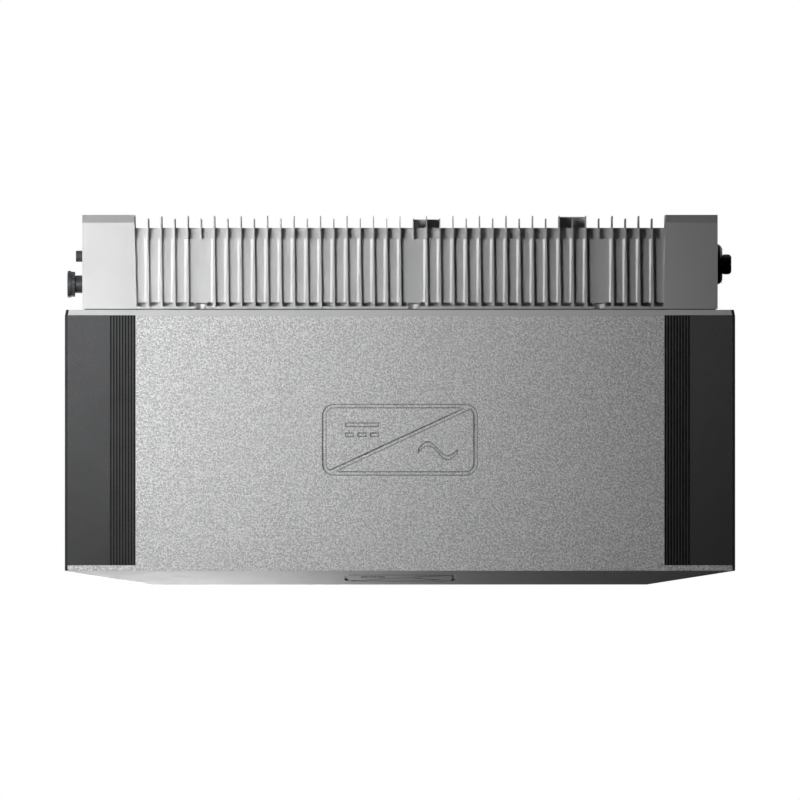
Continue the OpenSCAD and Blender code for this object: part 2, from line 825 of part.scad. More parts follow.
module power_stage_board() {
    color(board_green) {
        box([-212, -116, module_z - 2], [212, -48, module_z]);
        for (k = [0 : 5]) box([-190 + k * 70, -62, module_z - 8], [-160 + k * 70, -52, module_z - 2]);
    }
}

module control_board() {
    color(board_green) difference() {
        union() {
            box([-120, control_y, 112], [120, control_y + 1.6, 222]);
            box([-24, control_y - 2, 150], [16, control_y, 190]);
            for (x = [-96, -60, 50, 86]) box([x - 9, control_y - 7, 118], [x + 9, control_y, 128]);
        }
        for (x = [-113, 113], z = [119, 215]) rod_y(control_y - eps, control_y + 2, x, z, 1.8);
    }
}

module control_standoffs() {
    color(steel) for (x = [-113, 113], z = [119, 215]) {
        rod_y(control_y + 1.6, board_y, x, z, 3.2);
        rod_y(control_y - 1.5, control_y + 1.6, x, z, 1.6);
    }
}

module comm_board() {
    color(board_green) {
        box([-crown_x + 12, -150, 280], [-crown_x + 13.6, -60, 340]);
        box([-crown_x + 13.6, -140, 300], [-crown_x + 17, -110, 325]);
    }
}

module fan_frame() {
    y = fan_pos[1];
    color("black") translate([fan_pos[0], 0, fan_pos[2]]) {
        difference() {
            box([-30, y - 10, -30], [30, y + 10, 30]);
            rod_y(y - 11, y + 11, 0, 0, 27.5);
            for (x = [-25, 25], z = [-25, 25]) rod_y(y - 11, y + 11, x, z, 2);
        }
        for (a = [0 : 120 : 240]) rotate([0, a, 0]) box([0, y + 7.5, -2], [28, y + 9.5, 2]);
        rod_y(y + 6.5, y + 9.5, 0, 0, 11);
        rod_y(y - 4, y + 7, 0, 0, 1.5);
        for (x = [-25, 25], z = [-25, 25]) rod_y(y + 10, box_back - box_t, x, z, 3);
    }
}

module fan_rotor() {
    y = fan_pos[1];
    color(dark) translate([fan_pos[0], 0, fan_pos[2]]) difference() {
        union() {
            rod_y(y - 8, y + 6, 0, 0, 11);
            for (a = [0 : 360 / 7 : 359]) rotate([0, a, 0]) translate([18, y - 1, 0]) rotate([38, 0, 0])
                cube([17, 11, 1.2], center = true);
        }
        rod_y(y - 5, y + 7, 0, 0, 1.56);
    }
}

module terminal_block() {
    color("seagreen") difference() {
        box([-96, board_y - 20, 116], [0, board_y - 5, 128]);
        for (x = [-88 : 16 : -8]) rod_y(board_y - 21, board_y - 12, x, 122, 3);
    }
}

module dc_wiring() {
    terminal_x = crown_x - 36;
    color("firebrick") for (k = [0 : 3]) {
        x = pv_x[k];
        y = switch_y + terminal_y[k];
        z = 100 + 4 * k;
        wire([[x, plug_y, box_z0 + 14], [x, plug_y, 42], [x, y, 42], [x, y, z], [214, y, z],
              [214, y, 277], [terminal_x, y, 277], [terminal_x, y, switch_z - 25]], 2);
    }
}

module ac_wiring() {
    color("saddlebrown") for (k = [0 : 2])
        wire([[ac_x - 8 + 8 * k, plug_y, box_z0 + 16], [ac_x - 8 + 8 * k, plug_y, 42],
              [ac_x - 8 + 8 * k, -82, 44], [ac_x - 8 + 8 * k, -82, 122],
              [ac_x - 8 + 8 * k, board_y - 20, 122]], 2);
}

// ---- placing: the drawing's Z is counted from the panel's bottom edge ----

module placed() {
    translate([0, 0, -bolt_z]) children();
}

placed() front_cover();
placed() mirror([1, 0, 0]) trim_strip();  // left_trim_strip
placed() trim_strip();  // right_trim_strip
placed() mirror([1, 0, 0]) side_cheek();  // left_side_cheek
placed() side_cheek();  // right_side_cheek
placed() mirror([1, 0, 0]) side_rail();  // left_side_rail
placed() side_rail();  // right_side_rail
placed() cover_standoffs();
placed() heatsink_housing();
placed() end_box_covers();
placed() crown_screws();
placed() crown_gasket();
placed() inner_housing();
placed() inner_lid();
placed() lid_gasket();
placed() lid_screws();
placed() wall_bracket();
placed() mirror([1, 0, 0]) hanger();  // left_hanger
placed() hanger();  // right_hanger
placed() hanger_screws();
placed() lower_bumpers();
placed() dc_switch_body();
placed() dc_switch_nut();
placed() dc_switch_collar();
placed() dc_switch_shaft();
placed() dc_switch_knob();
placed() pressure_vent();
placed() com_port_socket();
placed() com_port_nut();
placed() com_port_seal();
placed() com_port_cap();
placed() pv_positive_connectors();
placed() pv_negative_connectors();
placed() pv_connector_nuts();
placed() battery_connectors();
placed() battery_connector_nuts();
placed() ac_connector();
placed() ac_connector_nut();
placed() signal_connector();
placed() earth_stud();
placed() earth_washer();
placed() earth_nut();
placed() power_board();
placed() board_standoffs();
placed() dc_link_capacitors();
placed() film_capacitors();
placed() relays();
placed() emi_chokes();
placed() boost_inductors();
placed() ac_inductors();
placed() power_modules();
placed() power_stage_board();
placed() control_board();
placed() control_standoffs();
placed() comm_board();
placed() fan_frame();
placed() fan_rotor();
placed() terminal_block();
placed() dc_wiring();
placed() ac_wiring();
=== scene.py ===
"""Looks for a wall-mounted string inverter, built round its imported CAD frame. Metres, +Z up."""

import json
import math
import random

import bmesh
import bpy
from mathutils import Matrix, Vector


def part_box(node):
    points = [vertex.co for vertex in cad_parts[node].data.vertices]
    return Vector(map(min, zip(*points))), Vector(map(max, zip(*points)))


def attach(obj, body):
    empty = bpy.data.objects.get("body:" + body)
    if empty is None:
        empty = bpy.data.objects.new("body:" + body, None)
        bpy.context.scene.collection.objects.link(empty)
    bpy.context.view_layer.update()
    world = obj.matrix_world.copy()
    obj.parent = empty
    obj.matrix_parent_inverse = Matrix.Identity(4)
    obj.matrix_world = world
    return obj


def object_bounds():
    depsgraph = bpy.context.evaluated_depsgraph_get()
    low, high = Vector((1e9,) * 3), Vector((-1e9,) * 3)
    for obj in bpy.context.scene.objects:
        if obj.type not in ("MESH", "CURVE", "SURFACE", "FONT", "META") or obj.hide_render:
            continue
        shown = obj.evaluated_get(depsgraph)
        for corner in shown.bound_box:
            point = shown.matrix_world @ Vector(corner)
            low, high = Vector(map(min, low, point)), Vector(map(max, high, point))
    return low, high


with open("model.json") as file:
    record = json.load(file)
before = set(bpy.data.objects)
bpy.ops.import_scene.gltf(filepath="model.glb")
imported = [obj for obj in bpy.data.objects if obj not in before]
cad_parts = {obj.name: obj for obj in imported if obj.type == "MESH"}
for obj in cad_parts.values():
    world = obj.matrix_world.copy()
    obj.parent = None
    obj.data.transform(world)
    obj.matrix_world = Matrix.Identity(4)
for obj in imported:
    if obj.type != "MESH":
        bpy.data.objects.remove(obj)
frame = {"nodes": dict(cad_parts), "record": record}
nodes = frame["nodes"]
cad_low, cad_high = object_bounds()
MM = 0.001

# ---------------------------------------------------------------- camera

FIELD = 0.8               # width of the view at the front panel
CAMERA_AWAY = 30.0        # a long lens, so that the view is nearly parallel
SENSOR = 36.0

panel_low, panel_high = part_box("front_cover")
scene = bpy.context.scene
camera = bpy.data.objects.new("camera", bpy.data.cameras.new("camera"))
scene.collection.objects.link(camera)
camera.data.sensor_width = SENSOR
camera.data.lens = SENSOR * CAMERA_AWAY / FIELD
camera.data.clip_end = 60.0
camera.location = (0, panel_low.y - CAMERA_AWAY, (cad_low.z + cad_high.z) / 2)
camera.rotation_euler = (math.radians(90), 0, 0)
scene.camera = camera

# ---------------------------------------------------------------- shader building


class Shader:
    """A material's node tree, with short calls for the nodes that most materials share."""

    def __init__(self, name, colour, roughness, metallic=0.0, **sockets):
        self.material = bpy.data.materials.new(name)
        self.material.use_nodes = True
        self.tree = self.material.node_tree
        self.bsdf = self.tree.nodes["Principled BSDF"]
        self.bsdf.inputs["Base Color"].default_value = (*colour, 1)
        self.bsdf.inputs["Roughness"].default_value = roughness
        self.bsdf.inputs["Metallic"].default_value = metallic
        for socket, value in sockets.items():
            self.bsdf.inputs[socket.replace("_", " ")].default_value = value
        self.where = self.add("ShaderNodeTexCoord").outputs["Object"]
        self.heights = []

    def add(self, kind, inputs=None, **settings):
        """A new node, with its settings made and its inputs linked or set."""
        node = self.tree.nodes.new(kind)
        for key, value in settings.items():
            setattr(node, key, value)
        for key, value in (inputs or {}).items():
            self.put(node.inputs[key], value)
        return node

    def put(self, socket, value):
        """Links an output to a socket, or sets the socket's value."""
        if isinstance(value, bpy.types.NodeSocket):
            self.tree.links.new(value, socket)
        else:
            socket.default_value = value

    def stretch(self, scale):
        """The coordinates, scaled by a different amount along each axis."""
        return self.add("ShaderNodeMapping", {"Vector": self.where, "Scale": scale}).outputs[0]

    def noise(self, scale, detail=2.0, rough=0.5, where=None):
        inputs = {"Vector": where or self.where, "Scale": scale, "Detail": detail, "Roughness": rough}
        return self.add("ShaderNodeTexNoise", inputs).outputs["Fac"]

    def cells(self, scale):
        """The distance to the middle of each small cell."""
        inputs = {"Vector": self.where, "Scale": scale}
        return self.add("ShaderNodeTexVoronoi", inputs).outputs["Distance"]

    def spread(self, value, low, high, to_low=0.0, to_high=1.0):
        """Maps low..high to to_low..to_high, and holds what is outside at the ends."""
        inputs = {"Value": value, "From Min": low, "From Max": high, "To Min": to_low, "To Max": to_high}
        return self.add("ShaderNodeMapRange", inputs, clamp=True).outputs[0]

    def math(self, operation, a, b=0.0):
        return self.add("ShaderNodeMath", {0: a, 1: b}, operation=operation).outputs[0]

    def mix(self, factor, a, b):
        node = self.add("ShaderNodeMix", data_type="RGBA")
        self.put(node.inputs["Factor"], factor)
        for socket, value in (("A", a), ("B", b)):
            slot = next(s for s in node.inputs if s.name == socket and s.type == "RGBA")
            self.put(slot, value if isinstance(value, bpy.types.NodeSocket) else (*value, 1))
        return next(s for s in node.outputs if s.type == "RGBA")

    def patches(self, scale):
        """A random value for each small cell."""
        inputs = {"Vector": self.where, "Scale": scale}
        colour = self.add("ShaderNodeTexVoronoi", inputs).outputs["Color"]
        return self.add("ShaderNodeSeparateColor", {0: colour}).outputs[0]

    def edges(self, radius, sharp=0.98, blunt=0.8):
        """1 on edges and in corners, 0 on flats."""
        bevel = self.add("ShaderNodeBevel", {"Radius": radius}, samples=4).outputs[0]
        flat = self.add("ShaderNodeNewGeometry").outputs["Normal"]
        both = self.add("ShaderNodeVectorMath", {0: bevel, 1: flat}, operation="DOT_PRODUCT")
        return self.spread(both.outputs["Value"], sharp, blunt)

    def facing(self, axis, low, high):
        """1 where the surface faces along an axis by more than high, 0 below low."""
        normal = self.add("ShaderNodeTexCoord").outputs["Normal"]
        part = self.add("ShaderNodeSeparateXYZ", {0: normal}).outputs[axis]
        return self.spread(part, low, high)

    def bump(self, height, distance, strength=1.0):
        """Adds one layer of relief, whose height is distance metres."""
        self.heights.append((height, distance, strength))

    def done(self, colour=None, roughness=None):
        """Links the colour, the roughness and the layers of relief, and gives the material."""
        if colour is not None:
            self.put(self.bsdf.inputs["Base Color"], colour)
        if roughness is not None:
            self.put(self.bsdf.inputs["Roughness"], roughness)
        normal = None
        for height, distance, strength in self.heights:
            inputs = {"Height": height, "Distance": distance, "Strength": strength}
            node = self.add("ShaderNodeBump", inputs)
            if normal is not None:
                self.put(node.inputs["Normal"], normal)
            normal = node.outputs[0]
        if normal is not None:
            self.put(self.bsdf.inputs["Normal"], normal)
        return self.material


def shade(colour, factor):
    """A colour made darker or paler."""
    return tuple(c * factor for c in colour)


# ---------------------------------------------------------------- materials

SAND = (0.76, 0.76, 0.762)
CAST = (0.6, 0.6, 0.602)
BLACK = (0.008, 0.0082, 0.009)


def sand_silver():
    """Silver powder coat with a sand texture on the flat front, smooth on the sloping faces, and painted
    shade along the edges of the engraved mark's floor.
    """
    s = Shader("sand_silver", SAND, 0.68, metallic=0.62)
    flat = s.facing("Y", -0.97, -0.995)
    grain = s.noise(520, 1.0, 0.6)
    fine = s.noise(1100, 0.0)
    relief = s.math("ADD", grain, s.math("MULTIPLY", fine, 0.5))
    s.bump(s.math("MULTIPLY", relief, flat), 0.0012, 0.6)
    s.bump(s.noise(240, 2.0), 0.00006)
    speck = s.math("ADD", s.noise(700, 0.0), s.math("MULTIPLY", s.patches(720), 0.45))
    grainy = s.mix(s.spread(speck, 0.45, 1.0), shade(SAND, 0.74), shade(SAND, 1.31))
    tone = s.mix(flat, SAND, grainy)
    tone = s.mix(s.spread(s.noise(3.5, 3.0), 0.4, 0.75, 0, 0.25), tone, shade(SAND, 0.95))
    # Painted shade: the edges of the engraved mark's floor are painted near-black, where shadow falls in
    # the recess.
    depth = s.add("ShaderNodeSeparateXYZ", {0: s.where}).outputs["Y"]
    sunk = s.math("MULTIPLY", flat, s.spread(depth, panel_low.y + 0.4 * MM, panel_low.y + 1.0 * MM))
    tone = s.mix(s.math("MULTIPLY", s.edges(0.0006), 0.2), tone, (0.85, 0.85, 0.85))
    tone = s.mix(s.math("MULTIPLY", sunk, s.edges(0.0028, 0.998, 0.95)), tone, (0.01, 0.01, 0.01))
    return s.done(tone, s.spread(s.noise(90, 2.0), 0.3, 0.7, 0.64, 0.72))


def cast_silver():
    """Smooth silver paint on a die casting: faint orange peel, tooling marks and rubbed edges."""
    s = Shader("cast_silver", CAST, 0.55, metallic=0.85)
    s.bump(s.noise(420, 2.0), 0.0001, 0.6)
    s.bump(s.noise(60, 3.0), 0.0003, 0.3)
    tone = s.mix(s.spread(s.noise(9, 4.0), 0.35, 0.7, 0, 0.5), CAST, shade(CAST, 0.94))
    tone = s.mix(s.math("MULTIPLY", s.edges(0.0005), 0.4), tone, (0.75, 0.75, 0.75))
    return s.done(tone, s.spread(s.noise(35, 3.0), 0.3, 0.7, 0.52, 0.58))


def moulded(name, colour, roughness, grain=900, depth=0.00012, rub_and_highlight=1.9, painted_light_and_shade=None):
    """Moulded plastic: fine spark texture, uneven gloss and paler edges: rubbed edges, and a painted
    highlight on the trim strips' rib tops.

    The last argument, (bottom, top), is how much darker or paler the colour is painted at the panel's
    bottom and top: painted shade below, painted light above.
    When it is given, the grooves are painted near-black as painted shade."""
    s = Shader(name, colour, roughness)
    s.bump(s.cells(grain), depth)
    s.bump(s.noise(120, 3.0), depth * 1.5, 0.5)
    tone = s.mix(s.spread(s.noise(14, 4.0), 0.35, 0.7), colour, shade(colour, 0.82))
    if painted_light_and_shade:
        # Painted light: the colour is painted darker towards the panel's bottom and paler towards its
        # top.
        parts = s.add("ShaderNodeSeparateXYZ", {0: s.where})
        level = s.spread(parts.outputs["Z"], panel_low.z, panel_high.z)
        tone = s.mix(level, s.mix(0.5, tone, shade(colour, painted_light_and_shade[0] * 2 - 1)),
                     s.mix(0.5, tone, shade(colour, painted_light_and_shade[1] * 2 - 1)))
        # Painted shade: the floors of the grooves, set back from the front, are painted near-black.
        sunk = s.spread(parts.outputs["Y"], panel_low.y + 0.2 * MM, panel_low.y + 1.2 * MM)
        tone = s.mix(sunk, tone, shade(colour, 0.02))
    # Paler edges: rubbed edges, and where the factor is high, as on the trim strips' ribs, a painted
    # highlight.
    tone = s.mix(s.math("MULTIPLY", s.edges(0.0005), 0.6), tone, shade(colour, rub_and_highlight))
    gloss = s.spread(s.noise(45, 3.0), 0.3, 0.7, roughness - 0.05, roughness + 0.07)
    return s.done(tone, gloss)


def zinc_steel(name, colour=(0.5, 0.51, 0.52), roughness=0.34, along=(1, 60, 60)):
    """Zinc-plated sheet steel: drawn lines, spangle and bright cut edges."""
    s = Shader(name, colour, roughness, metallic=1.0)
    lines = s.noise(25, 4.0, 0.7, s.stretch(along))
    s.bump(lines, 0.00005, 0.6)
    spangle = s.cells(70)
    tone = s.mix(s.spread(spangle, 0.1, 0.9), shade(colour, 1.12), shade(colour, 0.86))
    tone = s.mix(s.math("MULTIPLY", s.edges(0.0004), 0.5), tone, (0.8, 0.8, 0.8))
    return s.done(tone, s.spread(lines, 0.3, 0.7, roughness - 0.06, roughness + 0.1))


def soft_rubber():
    """Matt black rubber with a dusty bloom."""
    colour = (0.018, 0.018, 0.02)
    s = Shader("soft_rubber", colour, 0.75)
    s.bump(s.noise(500, 3.0), 0.0002, 0.5)
    tone = s.mix(s.spread(s.noise(40, 3.0), 0.4, 0.7), colour, (0.035, 0.034, 0.032))
    return s.done(tone, s.spread(s.noise(80, 2.0), 0.3, 0.7, 0.66, 0.85))


def circuit_board():
    """Green laminate: copper runs under the resist, pale pads in rows."""
    green, run, pad = (0.012, 0.085, 0.03), (0.03, 0.16, 0.055), (0.55, 0.5, 0.36)
    s = Shader("circuit_board", green, 0.3)
    inputs = {"Vector": s.where, "Scale": 90.0, "Mortar Size": 0.03}
    runs = s.add("ShaderNodeTexBrick", inputs).outputs["Fac"]
    pads = s.spread(s.cells(260), 0.16, 0.12)
    tone = s.mix(runs, green, run)
    tone = s.mix(s.math("MULTIPLY", pads, 0.8), tone, pad)
    s.bump(s.math("ADD", runs, pads), 0.00008)
    return s.done(tone, s.spread(pads, 0, 1, 0.32, 0.2))


def turned_brass():
    """Brass with turning lines and darker, tarnished patches."""
    colour = (0.72, 0.5, 0.2)
    s = Shader("turned_brass", colour, 0.25, metallic=1.0)
    lines = s.noise(40, 3.0, 0.6, s.stretch((40, 1, 1)))
    s.bump(lines, 0.00004)
    tone = s.mix(s.spread(s.noise(60, 3.0), 0.4, 0.7), colour, (0.45, 0.3, 0.13))
    return s.done(tone, s.spread(lines, 0.3, 0.7, 0.2, 0.36))


LOOKS = {
    "cover_silver": sand_silver(),
    "cast_silver": cast_silver(),
    # The trim strips get painted light and shade: darker at the bottom and paler at the top, near-black
    # groove floors, and a painted highlight on the rib tops.
    "strip_black": moulded("strip_black", (0.072, 0.073, 0.076), 0.62, grain=700, depth=0.0002, rub_and_highlight=2.2,
                           painted_light_and_shade=(0.7, 1.3)),
    "cheek_black": moulded("cheek_black", (0.01, 0.01, 0.011), 0.5, grain=800),
    "plated_steel": zinc_steel("plated_steel"),
    "screw_steel": zinc_steel("screw_steel", (0.6, 0.6, 0.6), 0.25, along=(30, 30, 30)),
    "seal_rubber": soft_rubber(),
    "switch_plastic": moulded("switch_plastic", (0.5, 0.5, 0.48), 0.4),
    "black_plastic": moulded("black_plastic", BLACK, 0.45, rub_and_highlight=1.5),
    "grey_plastic": moulded("grey_plastic", (0.06, 0.062, 0.066), 0.42, rub_and_highlight=1.7),
    "orange_plastic": moulded("orange_plastic", (0.72, 0.16, 0.02), 0.36, rub_and_highlight=1.25),
    "brass_stud": turned_brass(),
    "circuit_board": circuit_board(),
    "capacitor_sleeve": moulded("capacitor_sleeve", (0.015, 0.02, 0.05), 0.22, depth=0.00002),
    "film_case": moulded("film_case", (0.5, 0.42, 0.24), 0.4, rub_and_highlight=1.2),
    "relay_case": moulded("relay_case", (0.6, 0.6, 0.57), 0.4, rub_and_highlight=1.2),
    "ferrite": moulded("ferrite", (0.22, 0.12, 0.045), 0.42),
    "inductor_can": zinc_steel("inductor_can", (0.58, 0.58, 0.59), 0.4),
    "module_case": moulded("module_case", (0.05, 0.05, 0.054), 0.45),
    "terminal_green": moulded("terminal_green", (0.03, 0.24, 0.08), 0.4, rub_and_highlight=1.3),
    "wire_red": moulded("wire_red", (0.4, 0.015, 0.012), 0.35, rub_and_highlight=1.1),
    "wire_brown": moulded("wire_brown", (0.16, 0.065, 0.025), 0.35, rub_and_highlight=1.1),
}
slot_of = {part["node"]: part["material_slot"] for part in frame["record"]["subparts"]}

# ---------------------------------------------------------------- CAD nodes

# how far each node's edges are rounded, in millimetres
USUAL_ROUNDING = 0.25
ROUNDING = {
    "front_cover": 0.3, "heatsink_housing": 0.2, "inner_housing": 0.8, "dc_switch_knob": 0.2,
    "dc_switch_collar": 0.15, "com_port_cap": 0.3, "wall_bracket": 0.3, "lower_bumpers": 0.8,
    "left_side_cheek": 0.3, "right_side_cheek": 0.3, "left_trim_strip": 0.15, "right_trim_strip": 0.15,
}
WELD = 0.01 * MM              # points closer than this are one
CREASE = math.radians(12)     # faces that meet at more than this have an edge


def weigh_edges(mesh):
    """Gives a bevel weight to the edges where two of the CAD's faces meet at an angle.

    Each CAD face is an island of its own in the mesh, so such an edge is a border of both islands."""
    shape = bmesh.new()
    shape.from_mesh(mesh)
    place = {vert: tuple(round(c / WELD) for c in vert.co) for vert in shape.verts}
    ends = [frozenset((place[edge.verts[0]], place[edge.verts[1]])) for edge in shape.edges]
    normals = {}
    for edge, key in zip(shape.edges, ends):
        normals.setdefault(key, []).extend(face.normal.copy() for face in edge.link_faces)
    weights = []
    for edge, key in zip(shape.edges, ends):
        around = normals[key]
        border = len(edge.link_faces) == 1 and len(around) == 2 and min(n.length for n in around) > 0
        weights.append(1.0 if border and around[0].angle(around[1]) > CREASE else 0.0)
    shape.free()
    mesh.attributes.new("bevel_weight_edge", "FLOAT", "EDGE").data.foreach_set("value", weights)


def dress(name):
    """Gives a CAD node its material and rounds its edges, by modifiers alone."""
    node = nodes[name]
    node.data.materials.clear()
    node.data.materials.append(LOOKS[slot_of[name]])
    for face in node.data.polygons:
        face.use_smooth = True
    weigh_edges(node.data)
    weld = node.modifiers.new("weld", "WELD")
    weld.merge_threshold = WELD
    bevel = node.modifiers.new("rounding", "BEVEL")
    bevel.width = ROUNDING.get(name, USUAL_ROUNDING) * MM
    bevel.segments = 2
    bevel.limit_method = "WEIGHT"
    bevel.harden_normals = True
    level = node.modifiers.new("level", "WEIGHTED_NORMAL")
    level.keep_sharp = True


for name in nodes:
    dress(name)

# ---------------------------------------------------------------- details

# Small cast and moulded details that stand on the CAD's faces.


def piece(name, shape, look, body, rounding):
    """Turns a bmesh into an object with rounded edges that rides on a body."""
    bmesh.ops.recalc_face_normals(shape, faces=shape.faces)
    mesh = bpy.data.meshes.new(name)
    shape.to_mesh(mesh)
    shape.free()
    for face in mesh.polygons:
        face.use_smooth = True
    mesh.materials.append(LOOKS[look])
    made = bpy.data.objects.new(name, mesh)
    scene.collection.objects.link(made)
    bevel = made.modifiers.new("rounding", "BEVEL")
    bevel.width = rounding * MM
    bevel.segments = 2
    bevel.limit_method = "ANGLE"
    bevel.angle_limit = math.radians(35)
    bevel.harden_normals = True
    level = made.modifiers.new("level", "WEIGHTED_NORMAL")
    level.keep_sharp = True
    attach(made, body)


def loft(shape, lower, upper):
    """A closed solid between two outlines with the same number of points."""
    rings = [[shape.verts.new(p) for p in outline] for outline in (lower, upper)]
    count = len(lower)
    for k in range(count):
        n = (k + 1) % count
        shape.faces.new((rings[0][k], rings[0][n], rings[1][n], rings[1][k]))
    shape.faces.new(rings[0][::-1])
    shape.faces.new(rings[1])


def band(shape, outer, inner, shift):
    """A closed ring between two outlines, as deep as the vector shift."""
    count = len(outer)
    rings = [[shape.verts.new(Vector(p) + move) for p in outline]
             for outline in (outer, inner) for move in (Vector(), shift)]
    for a, b in ((0, 1), (1, 3), (3, 2), (2, 0)):
        for k in range(count):
            n = (k + 1) % count
            shape.faces.new((rings[a][k], rings[a][n], rings[b][n], rings[b][k]))


def rib(shape, start, end, out, width, height):
    """A cast rib from start to end, as tall as height along out, with drafted sides."""
    end_draft, side_draft = 0.8, 0.55     # shares of the height and of the width
    along = (end - start).normalized()
    across = along.cross(out) * width / 2
    sunk = out * 0.3 * MM
    low = [start - across - sunk, start + across - sunk, end + across - sunk, end - across - sunk]
    shorter = along * height * end_draft
    narrower = across * side_draft
    high = [start + shorter - narrower, start + shorter + narrower,
            end - shorter + narrower, end - shorter - narrower]
    loft(shape, low, [p + out * height for p in high])


def circle(radius, count):
    """Points on a circle round the origin."""
    turns = [k * math.tau / count for k in range(count)]
    return [(radius * math.cos(turn), radius * math.sin(turn)) for turn in turns]


def rectangle(half_a, half_b):
    """The four corners of a rectangle round the origin."""
    return [(-half_a, -half_b), (half_a, -half_b), (half_a, half_b), (-half_a, half_b)]


def housing_ribs():
    """Stiffening ribs cast on the back and the sides of the inner housing."""
    inset = 14 * MM           # from the housing's edges to the outer ribs
    tall = 3 * MM
    outer_w, inner_w = 4.5 * MM, 4 * MM
    uprights = 9
    foot_r = 15 * MM
    foot_clear = 18 * MM      # from a bumper's middle to the nearest rib
    side_ribs, side_pitch = 5, 24 * MM
    side_tall = 2.5 * MM
    side_front, side_back = 46 * MM, 6 * MM     # a side rib's ends, forward of the back
    low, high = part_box("inner_housing")
    plate_low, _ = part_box("wall_bracket")
    foot_low, foot_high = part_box("lower_bumpers")
    shape = bmesh.new()
    back = Vector((0, 1, 0))
    bottom, top = low.z + inset, plate_low.z - inset
    first, last = foot_low.x - inset, foot_high.x + inset
    feet = (foot_low.x + foot_r, foot_high.x - foot_r)
    for k in range(uprights):
        x = first + (last - first) * k / (uprights - 1)
        if min(abs(x - foot) for foot in feet) > foot_clear:
            rib(shape, Vector((x, high.y, bottom)), Vector((x, high.y, top)), back, inner_w, tall)
    left, right = low.x + inset, high.x - inset
    corners = [Vector((x, high.y, z))
               for x, z in ((left, bottom), (right, bottom), (right, top), (left, top))]
    for a, b in ((0, 1), (1, 2), (2, 3), (3, 0)):
        rib(shape, corners[a], corners[b], back, outer_w, tall)
    for side, x in ((-1, low.x), (1, high.x)):
        for k in range(side_ribs):
            z = plate_low.z + k * side_pitch
            rib(shape, Vector((x, high.y - side_front, z)), Vector((x, high.y - side_back, z)),
                Vector((side, 0, 0)), inner_w, side_tall)
    piece("housing_ribs", shape, "cast_silver", "casing", 0.5)


def grip_outline(radius, teeth):
    """A circle with square teeth, four points to a tooth, in metres."""
    tooth, gap = 0.9, 0.15    # how far each stands out, in millimetres
    points = circle(1, teeth * 4)
    rims = [(radius + (tooth if k % 4 < 2 else gap)) * MM for k in range(teeth * 4)]
    return [(rim * a, rim * b) for rim, (a, b) in zip(rims, points)]


def connector_grips():
    """Ribbed sleeves round the connectors under the housing."""
    # node, material, sleeve's radius, teeth, sleeve's top and bottom below the housing, and
    # the distance from the node's side to the first connector's axis; lengths in millimetres
    rows = (
        ("pv_positive_connectors", "black_plastic", 8.4, 14, 3, 14, 11),
        ("pv_negative_connectors", "black_plastic", 8.4, 14, 3, 14, 11),
        ("battery_connectors", "orange_plastic", 9.5, 18, 8, 26, 14),
        ("ac_connector", "grey_plastic", 17, 30, 7, 22, 21),
        ("signal_connector", "grey_plastic", 12, 22, 6, 20, 15),
    )
    wall = 0.3                # how far the sleeve reaches into the connector
    floor_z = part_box("inner_housing")[0].z
    for node, look, radius, teeth, top, bottom, edge in rows:
        low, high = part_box(node)
        places = sorted({low.x + edge * MM, high.x - edge * MM})
        if places[-1] - places[0] < edge * MM:
            places = places[:1]
        y = (low.y + high.y) / 2
        z = floor_z - bottom * MM
        outer = grip_outline(radius, teeth)
        inner = circle((radius - wall) * MM, teeth * 4)
        shape = bmesh.new()
        for x in places:
            band(shape, [(x + a, y + b, z) for a, b in outer], [(x + a, y + b, z) for a, b in inner],
                 Vector((0, 0, (bottom - top) * MM)))
        piece(node + "_grips", shape, look, "casing", 0.2)


def isolator_pointer():
    """A pale pointer let into the end of the isolator's handle."""
    from_axis = 13 * MM
    deep, shallow = 0.9 * MM, 0.1 * MM    # its inner and outer face, from the handle's end
    low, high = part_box("dc_switch_knob")
    y, z = (low.y + high.y) / 2 - from_axis, (low.z + high.z) / 2
    outline = [(y + a, z + b) for a, b in rectangle(3.9 * MM, 0.7 * MM)]
    shape = bmesh.new()
    loft(shape, [(high.x - deep, a, b) for a, b in outline],
         [(high.x - shallow, a, b) for a, b in outline])
    piece("isolator_pointer", shape, "relay_case", "isolator_knob", 0.2)


def isolator_grip_ribs():
    """Fine ribs on the two edges of the isolator's handle."""
    count, pitch = 6, 2.6 * MM
    base, end = 1.2 * MM, 2.6 * MM        # left clear at the collar and at the handle's end
    low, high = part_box("dc_switch_knob")
    middle = (low.y + high.y) / 2
    shape = bmesh.new()
    for side, z in ((-1, low.z), (1, high.z)):
        for k in range(count):
            y = middle + (k - (count - 1) / 2) * pitch
            rib(shape, Vector((low.x + base, y, z)), Vector((high.x - end, y, z)),
                Vector((0, 0, side)), 1.1 * MM, 0.25 * MM)
    piece("isolator_grip_ribs", shape, "black_plastic", "isolator_knob", 0.1)


def isolator_ticks():
    """A tick at each end of the isolator's travel, on its collar's sloping rim."""
    from_axis = 17.6 * MM
    below_rim = 1.1 * MM
    slope = math.radians(35)
    half_thick, half_long, half_wide = 0.35 * MM, 1.3 * MM, 0.5 * MM
    low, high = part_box("dc_switch_knob")
    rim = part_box("dc_switch_collar")[1].x
    middle = Vector((rim - below_rim, (low.y + high.y) / 2, (low.z + high.z) / 2))
    tilt = Matrix.Translation((0, -from_axis, 0)) @ Matrix.Rotation(slope, 4, "Z")
    shape = bmesh.new()
    for turn in (0, 90):
        place = Matrix.Translation(middle) @ Matrix.Rotation(math.radians(turn), 4, "X") @ tilt
        lower, upper = [[place @ Vector((x, y, z)) for y, z in rectangle(half_long, half_wide)]
                        for x in (-half_thick, half_thick)]
        loft(shape, lower, upper)
    piece("isolator_ticks", shape, "relay_case", "casing", 0.1)


